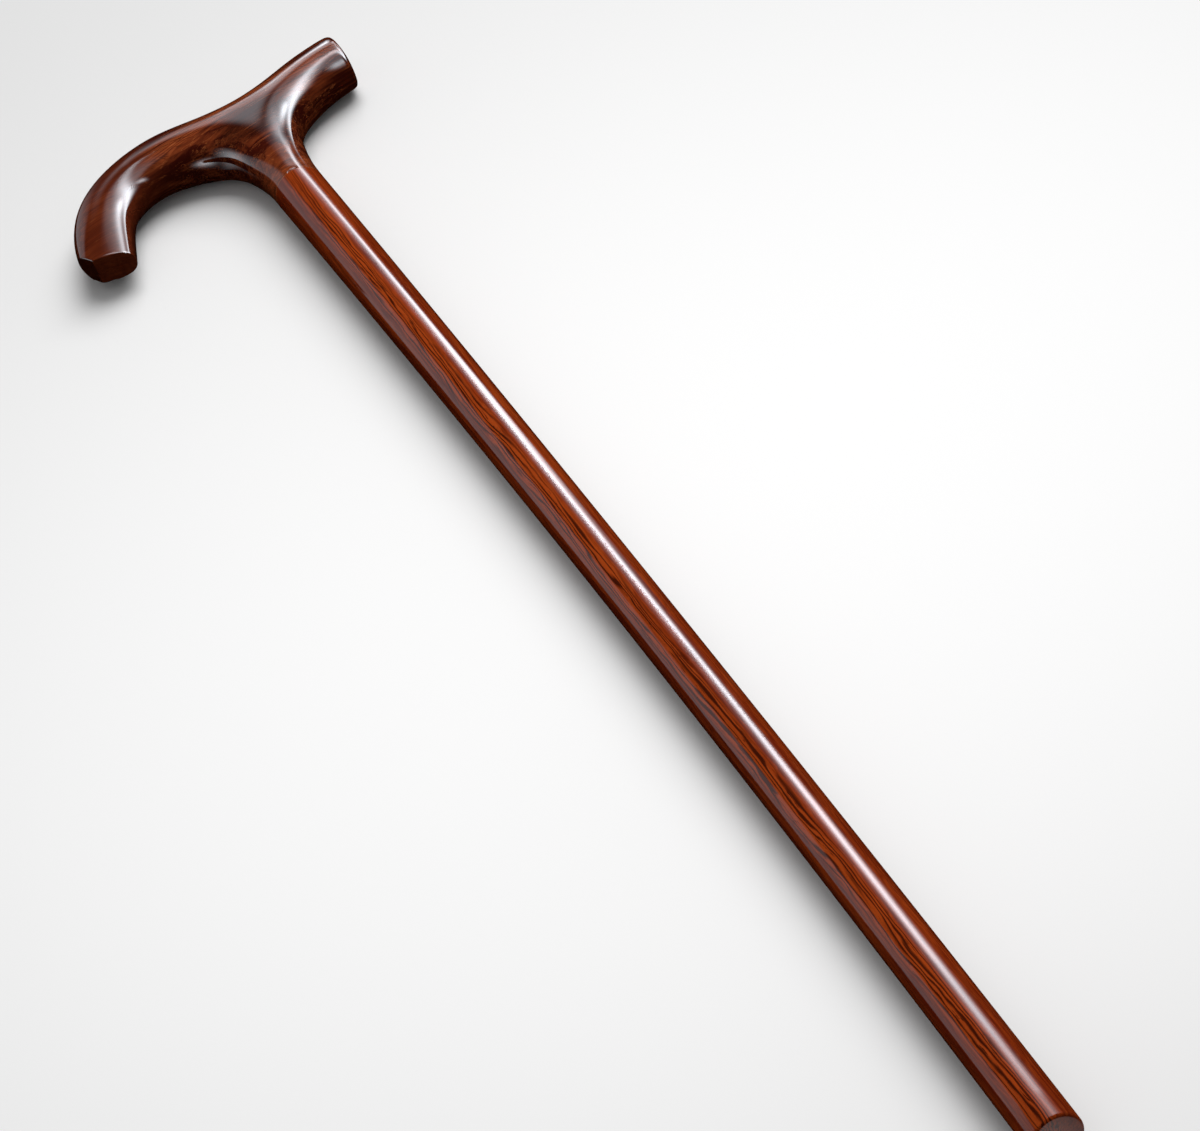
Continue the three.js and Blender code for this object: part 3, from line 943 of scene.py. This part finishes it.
class StageSettings(bpy.types.PropertyGroup):
    """Camera, floor and lights"""

    lens: FloatProperty(name="Lens", description="Focal length", default=163.69, unit="CAMERA")
    distance: length("Camera Distance", "From the camera to its target", 2.0780347)
    target: length("Target", "From the joint to the target, along the shaft", 0.3332029)
    tilt: angle("Tilt", "From the vertical down to the camera's line", 53.0266)
    heading: angle("Heading", "From the shaft round to the camera", 10)
    roll: angle("Roll", "Turn of the camera about its line", -22.2497)
    floor_colour: colour("Floor Colour", "Pale floor, as it is seen", (0.93, 0.93, 0.93))
    floor_bounce: colour("Floor Bounce", "What the floor gives back to the cane", (0.2, 0.2, 0.2))
    box_colour: colour("Softbox Colour", "Colour of the softboxes", (0.87, 0.93, 1))
    glow_colour: colour("Glow Colour", "Glow of the floor at the tip", (1, 0.9, 0.88))
    ambient: amount("Ambient", "Strength of the world's light", 0.35)
    key_power: amount("Key Power", "Watts of the large soft lamp", 68.0)
    streak_strength: amount("Streak Strength", "Brightness of the long softbox", 13.0)
    box_strength: amount("Box Strength", "Brightness of the softbox over the crotch", 24.0)
    tail_strength: amount("Tail Strength", "Brightness of the strip past the tail", 10.0)
    rim_strength: amount("Rim Strength", "Brightness of the small strip over the neck", 10.0)
    side_strength: amount("Side Strength", "Brightness of the panel past the nose", 3.4)
    low_strength: amount("Low Strength", "Brightness of the low panel", 8.0)
    tip_strength: amount("Tip Strength", "Brightness of the floor in front of the tip", 1.2)
    wall_strength: amount("Wall Strength", "Brightness of the pale wall", 0.6)


def lay_floor(settings):
    """A pale floor with a painted pool of light, which takes the cane's shadow and gives little light back
    to it.
    """
    bpy.ops.mesh.primitive_plane_add(size=FLOOR_SIZE)
    floor = bpy.context.active_object
    floor.name = "floor"
    material, tree = new_material("pale_floor")
    place = add_node(tree, "ShaderNodeTexCoord").outputs["Object"]
    from_light_pool = combine(tree, "LENGTH", combine(tree, "SUBTRACT", place, FLOOR_LIGHT_POOL_MIDDLE))
    rays = add_node(tree, "ShaderNodeLightPath").outputs
    seen = calculate(tree, "MAXIMUM", rays["Is Camera Ray"], rays["Is Glossy Ray"])
    seen = calculate(tree, "MAXIMUM", seen, rays["Is Transmission Ray"])
    # Painted shade: the floor's colour at its edges is darker than in the middle of the painted pool of
    # light
    edge = [share * FLOOR_SHADE_SHARE for share in settings.floor_colour]
    pale = blend(tree, span(tree, from_light_pool, *FLOOR_LIGHT_POOL_FADE), (*settings.floor_colour, 1), (*edge, 1))
    pale = blend(tree, seen, (*settings.floor_bounce, 1), pale)
    finish = {"Base Color": pale, "Roughness": 0.9, "Specular IOR Level": 0}
    feed(tree, tree.nodes["Principled BSDF"], finish)
    dress(floor, material)
    floor.visible_glossy = False


def show_in_lacquer(card, name, tint, glow, strength, pieces):
    """Lets the card be seen in the lacquer of the given pieces only, at a ray's first bounce."""
    card.name = name
    material, tree = new_material(name)
    tree.nodes.remove(tree.nodes["Principled BSDF"])
    place = add_node(tree, "ShaderNodeTexCoord").outputs["Object"]
    split = add_node(tree, "ShaderNodeSeparateXYZ", {"Vector": place}).outputs
    bounces = add_node(tree, "ShaderNodeLightPath").outputs["Glossy Depth"]
    first = calculate(tree, "LESS_THAN", bounces, PAST_FIRST_BOUNCE)
    brightness = product(tree, glow(tree, *split), strength, first)
    lit = add_node(tree, "ShaderNodeEmission", {"Color": (*tint, 1), "Strength": brightness})
    clear = add_node(tree, "ShaderNodeBsdfTransparent")
    both = add_node(tree, "ShaderNodeAddShader", {0: lit.outputs[0], 1: clear.outputs[0]})
    feed(tree, tree.nodes["Material Output"], {"Surface": both.outputs[0]})
    dress(card, material)
    for kind in ("camera", "diffuse", "transmission", "volume_scatter", "shadow"):
        setattr(card, f"visible_{kind}", False)
    receivers = bpy.data.collections.new(f"lit_by_{name}")
    for piece in pieces:
        receivers.objects.link(piece)
    card.light_linking.receiver_collection = receivers


def standing(place, x, y, z):
    """The matrix that puts an object at the place and turns its axes to x, y and z."""
    return Matrix.Translation(place) @ Matrix((x, y, z)).transposed().to_4x4()


def add_card(name, stand, tint, glow, strength, pieces):
    """A soft flat panel. Its glow goes by the place on it, in metres from its centre."""
    centre, along, across, width, height = stand
    bpy.ops.mesh.primitive_plane_add(size=1)
    card = bpy.context.active_object
    card.data.transform(Matrix.Diagonal((width, height, 1, 1)))
    right = Vector(along).normalized()
    upright = (Vector(across) - right * right.dot(Vector(across))).normalized()
    card.matrix_world = standing(centre, right, upright, right.cross(upright))
    show_in_lacquer(card, name, tint, lambda tree, x, y, z: glow(tree, x, y), strength, pieces)


def add_wall(tint, strength, pieces):
    """A tall round wall about the cane."""
    bpy.ops.mesh.primitive_cylinder_add(
        vertices=96, radius=6, depth=4, location=(0, 0, 1.4), end_fill_type="NOTHING"
    )
    show_in_lacquer(bpy.context.active_object, "pale_wall", tint, wall_glow, strength, pieces)


def bell(tree, value, spread):
    """The normal distribution's hump, with a height of 1."""
    share = calculate(tree, "DIVIDE", value, spread)
    return calculate(tree, "EXPONENT", product(tree, share, share, -0.5))


def hump(tree, x, y, width, height):
    """A glow that fades out all round its middle."""
    return product(tree, bell(tree, x, width), bell(tree, y, height))


def fading(width, height):
    """The glow of a card that fades out all round its centre."""
    return lambda tree, x, y: hump(tree, x, y, width, height)


def long_glow(tree, x, y, core_share, halo_share):
    """A bent bright band with a faint halo beside it, and soft ends and edges."""
    bend = total(
        tree,
        span(tree, x, 0.15, 0.75, -0.13, 0.15),
        span(tree, x, -0.45, 0.0, 0.17, 0.0),
        span(tree, x, 0.9, 1.5, 0.0, -0.38),
    )
    off = calculate(tree, "SUBTRACT", y, bend)
    brighter = span(tree, x, -1.35, -0.75, 0.2, 1.0)
    fainter = span(tree, x, 0.2, 1.6, 1.0, 0.45)
    core = product(tree, bell(tree, off, 0.25), brighter, fainter, core_share)
    halo = product(tree, bell(tree, total(tree, off, 0.33), 0.42), halo_share)
    sides = span(tree, calculate(tree, "ABSOLUTE", x), 1.9, 2.4, 1.0, 0.0)
    ends = span(tree, calculate(tree, "ABSOLUTE", y), 1.6, 2.1, 1.0, 0.0)
    return product(tree, total(tree, core, halo), product(tree, sides, ends))


def shaft_glow(tree, x, y):
    """The long softbox as the shaft shows it."""
    return long_glow(tree, x, y, 1.0, span(tree, x, -0.4, 0.6, 0.1, 0.17))


def neck_glow(tree, x, y):
    """The long softbox as the neck shows it, faint apart from one end."""
    return long_glow(tree, x, y, span(tree, x, 0.75, 1.25, 0.28, 1.0), 0.14)


def crotch_glow(tree, x, y):
    """An upright arc for the crotch, with a lobe beside it for the nose."""
    rise = total(tree, y, -0.15)
    from_arc = calculate(tree, "SUBTRACT", total(tree, x, 0.25), product(tree, rise, rise, 0.9))
    arc = hump(tree, from_arc, rise, 0.4, 0.8)
    lobe = hump(tree, total(tree, x, -0.66), rise, 0.27, 0.24)
    return total(tree, arc, product(tree, lobe, 0.7))


def tail_glow(tree, x, y):
    """A small bright glow low on the strip, and a larger and fainter one above it."""
    low = hump(tree, total(tree, x, -0.08), total(tree, y, 0.14), 0.13, 0.14)
    high = hump(tree, x, total(tree, y, -0.3), 0.26, 0.22)
    return total(tree, low, product(tree, high, 0.26))


def wall_glow(tree, x, y, z):
    """The stretch from behind the handle round to the nose's side, fading upwards."""
    turn = calculate(tree, "ARCTAN2", y, product(tree, x, -1.0))
    begun = span(tree, turn, -1.85, -1.5)
    ended = span(tree, turn, -0.25, 0.0, 1.0, 0.0)
    return product(tree, begun, ended, span(tree, z, 1.25, 1.95, 1.0, 0.0))


def place_camera(context, settings):
    """Aims the camera from above the tip, and turns it about its own line."""
    data = bpy.data.cameras.new("camera")
    data.sensor_width = 36
    data.lens = settings.lens
    camera = bpy.data.objects.new("camera", data)
    context.scene.collection.objects.link(camera)
    towards = Vector((math.cos(settings.heading), -math.sin(settings.heading), 0))
    back = towards * math.sin(settings.tilt) + UP * math.cos(settings.tilt)
    level_up = UP * math.sin(settings.tilt) - towards * math.cos(settings.tilt)
    level_right = level_up.cross(back)
    right = level_right * math.cos(settings.roll) + level_up * math.sin(settings.roll)
    upright = level_up * math.cos(settings.roll) - level_right * math.sin(settings.roll)
    place = JOINT + Vector((settings.target, 0, 0)) + back * settings.distance
    camera.matrix_world = standing(place, right, upright, back)
    context.scene.camera = camera


def hang_key(context, settings):
    """A large soft lamp over the tail's side, which shows in no reflection."""
    data = bpy.data.lights.new("key", "AREA")
    data.shape = "RECTANGLE"
    data.size = KEY_SIZE
    data.size_y = KEY_SIZE
    data.energy = settings.key_power
    lamp = bpy.data.objects.new("key", data)
    context.scene.collection.objects.link(lamp)
    lamp.location = KEY_PLACE
    lamp.rotation_euler = (-lamp.location).to_track_quat("-Z", "Y").to_euler()
    lamp.visible_camera = False
    lamp.visible_glossy = False


def light_world(context, settings):
    """An even white light from all round, which shows in no reflection."""
    world = context.scene.world or bpy.data.worlds.new("world")
    context.scene.world = world
    world.use_nodes = True
    background = world.node_tree.nodes["Background"]
    background.inputs["Color"].default_value = (1, 1, 1, 1)
    background.inputs["Strength"].default_value = settings.ambient
    world.cycles_visibility.glossy = False


class CANE_OT_stage(bpy.types.Operator):
    """Lays the pale floor and sets the camera and the lights"""

    bl_idname = "cane.stage"
    bl_label = "Set Stage"

    def execute(self, context):
        settings = context.scene.cane_stage
        lay_floor(settings)
        place_camera(context, settings)
        hang_key(context, settings)
        tint = settings.box_colour
        handle = [bpy.data.objects["carved_handle"]]
        shaft = [bpy.data.objects["turned_shaft"]]
        add_card("shaft_softbox", SHAFT_SOFTBOX, tint, shaft_glow, settings.streak_strength, shaft)
        add_card("neck_softbox", NECK_SOFTBOX, tint, neck_glow, settings.streak_strength, handle)
        add_card("crotch_softbox", CROTCH_SOFTBOX, tint, crotch_glow, settings.box_strength, handle)
        add_card("tail_strip", TAIL_STRIP, tint, tail_glow, settings.tail_strength, handle)
        add_card("rim_strip", RIM_STRIP, tint, fading(*RIM_SPREAD), settings.rim_strength, handle)
        add_card("side_panel", SIDE_PANEL, tint, fading(*SIDE_SPREAD), settings.side_strength, handle)
        add_card("low_panel", LOW_PANEL, tint, fading(*LOW_SPREAD), settings.low_strength, handle)
        tip_glow = fading(*TIP_SPREAD)
        add_card("tip_floor", TIP_FLOOR, settings.glow_colour, tip_glow, settings.tip_strength, shaft)
        add_wall(tint, settings.wall_strength, handle + shaft)
        light_world(context, settings)
        return {"FINISHED"}


class CANE_PT_sidebar(bpy.types.Panel):
    """Shows a button for each of the cane's operators"""

    bl_label = "Walking Cane"
    bl_space_type = "VIEW_3D"
    bl_region_type = "UI"
    bl_category = "Cane"

    def draw(self, context):
        for operator in OPERATORS:
            self.layout.operator(operator.bl_idname)


OPERATORS = (CANE_OT_handle, CANE_OT_shaft, CANE_OT_stud, CANE_OT_stage)
CLASSES = (HandleSizes, ShaftSizes, WoodFinish, StageSettings, *OPERATORS, CANE_PT_sidebar)


def register():
    for cls in CLASSES:
        bpy.utils.register_class(cls)
    bpy.types.Scene.cane_handle = PointerProperty(type=HandleSizes)
    bpy.types.Scene.cane_shaft = PointerProperty(type=ShaftSizes)
    bpy.types.Scene.cane_wood = PointerProperty(type=WoodFinish)
    bpy.types.Scene.cane_stage = PointerProperty(type=StageSettings)


def unregister():
    del bpy.types.Scene.cane_stage
    del bpy.types.Scene.cane_wood
    del bpy.types.Scene.cane_shaft
    del bpy.types.Scene.cane_handle
    for cls in reversed(CLASSES):
        bpy.utils.unregister_class(cls)


def main():
    register()
    bpy.context.scene.view_settings.view_transform = "Standard"
    wood_figure()
    bpy.ops.cane.handle()
    bpy.ops.cane.shaft()
    bpy.ops.cane.stud()
    bpy.ops.cane.stage()


if __name__ == "__main__":
    main()
